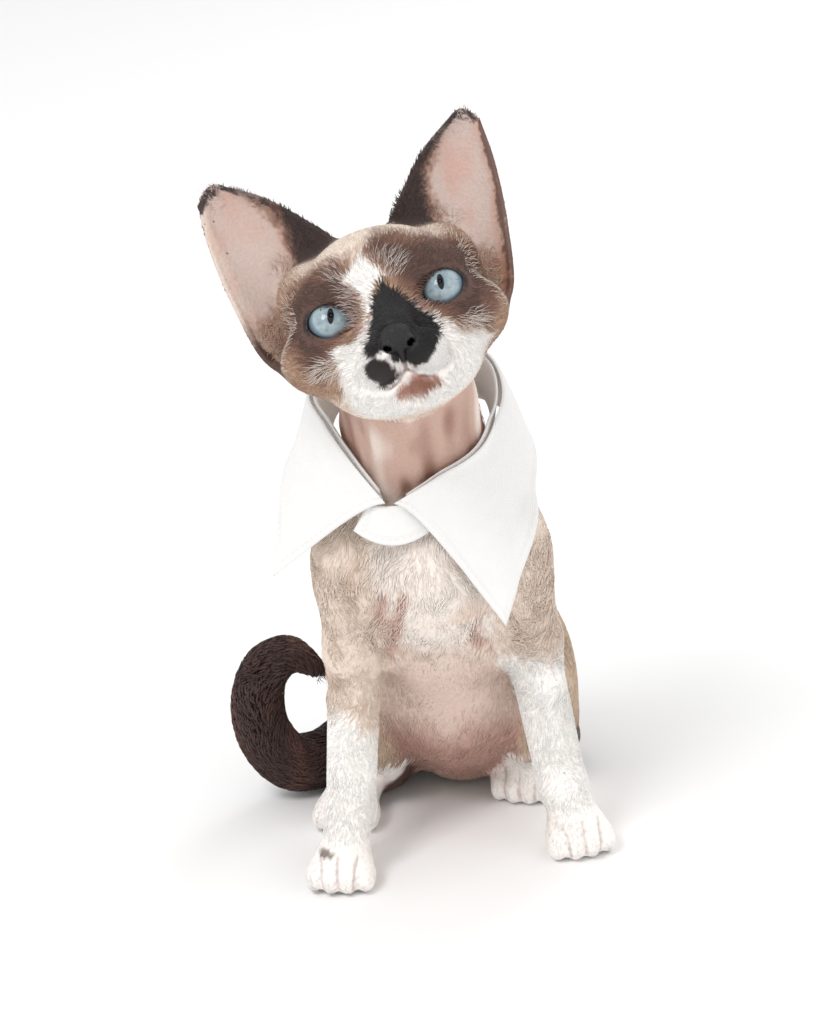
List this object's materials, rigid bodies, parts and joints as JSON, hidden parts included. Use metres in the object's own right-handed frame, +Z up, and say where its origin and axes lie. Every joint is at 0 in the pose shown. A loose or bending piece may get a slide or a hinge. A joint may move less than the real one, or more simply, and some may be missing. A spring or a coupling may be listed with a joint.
{
  "type": "seated devon rex cat model",
  "caption": "Life-size still model of a young curly-coated cat, sitting upright with its head tilted, in a pointed cloth collar.",
  "frame": {"origin": "centre of the model's box, on the floor that the paws and rump rest on", "axes": "+Z up along the height of the seated cat, -Y the way its chest faces, +X to the cat's left"},
  "size_m": [0.1516, 0.1974, 0.2911],
  "materials": {
    "mask_fur": "short soft brown fur",
    "white_fur": "short soft off-white fur",
    "body_fur": "thin wavy beige fur over pink skin",
    "tail_fur": "short dark brown fur",
    "ear": "thin bare skin, dark fur on the rim and back",
    "nose_leather": "moist black skin",
    "eye": "wet pale blue eye with a slit pupil",
    "collar_cloth": "pressed white cotton"
  },
  "bodies": {
    "root": {"head": "mask_fur", "muzzle": "white_fur", "nose": "nose_leather", "ear_left": "ear", "ear_right": "ear", "eye_left": "eye", "eye_right": "eye", "neck": "body_fur", "torso": "body_fur", "shoulder_left": "body_fur", "shoulder_right": "body_fur", "front_leg_left": "white_fur", "front_leg_right": "white_fur", "front_paw_left": "white_fur", "front_paw_right": "white_fur", "haunch_left": "body_fur", "haunch_right": "body_fur", "hind_foot_left": "white_fur", "hind_foot_right": "white_fur", "tail_root": "tail_fur", "tail_middle": "tail_fur", "tail_tip": "tail_fur", "collar_leaf_left": "collar_cloth", "collar_leaf_right": "collar_cloth", "collar_stand": "collar_cloth", "collar_front": "collar_cloth"}
  },
  "joints": []
}
